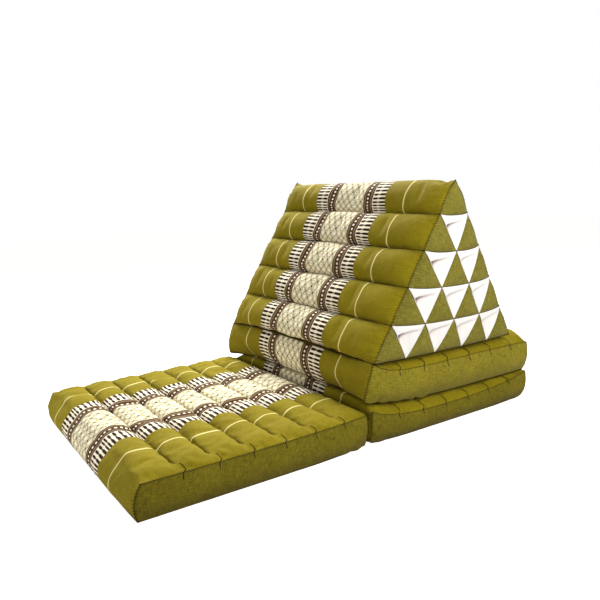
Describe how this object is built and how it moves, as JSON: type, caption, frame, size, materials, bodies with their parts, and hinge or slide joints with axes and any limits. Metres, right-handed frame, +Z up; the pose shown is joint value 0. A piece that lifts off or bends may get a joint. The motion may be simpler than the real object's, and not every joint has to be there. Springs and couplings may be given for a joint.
{
  "type": "thai triangle cushion with fold-out mat",
  "caption": "Row-quilted triangular bolster on a fold-out floor mat: backrest and seat in one, with a woven pattern strip, plain sides and white cotton insets in its ends.",
  "frame": {"origin": "on the floor, under the middle of the whole object's box", "axes": "+X along the bolster's ridge, +Y from the open mat section towards the back of the bolster, +Z up"},
  "size_m": [0.5678, 0.8872, 0.475],
  "materials": {
    "olive_cotton": "plain woven olive cotton with a woven cream and brown pattern strip",
    "olive_chambray": "heathered olive cotton with dark overcast seams",
    "white_cotton": "plain white cotton"
  },
  "bodies": {
    "root": {"bolster": "olive_cotton", "mat_upper": "olive_chambray", "mat_lower": "olive_chambray", "mat_front": "olive_chambray", "white_panel_left_2_1": "white_cotton", "white_panel_left_3_1": "white_cotton", "white_panel_left_3_2": "white_cotton", "white_panel_left_4_1": "white_cotton", "white_panel_left_4_2": "white_cotton", "white_panel_left_4_3": "white_cotton", "white_panel_left_5_1": "white_cotton", "white_panel_left_5_2": "white_cotton", "white_panel_left_5_3": "white_cotton", "white_panel_left_5_4": "white_cotton", "white_panel_right_2_1": "white_cotton", "white_panel_right_3_1": "white_cotton", "white_panel_right_3_2": "white_cotton", "white_panel_right_4_1": "white_cotton", "white_panel_right_4_2": "white_cotton", "white_panel_right_4_3": "white_cotton", "white_panel_right_5_1": "white_cotton", "white_panel_right_5_2": "white_cotton", "white_panel_right_5_3": "white_cotton", "white_panel_right_5_4": "white_cotton"}
  },
  "joints": []
}
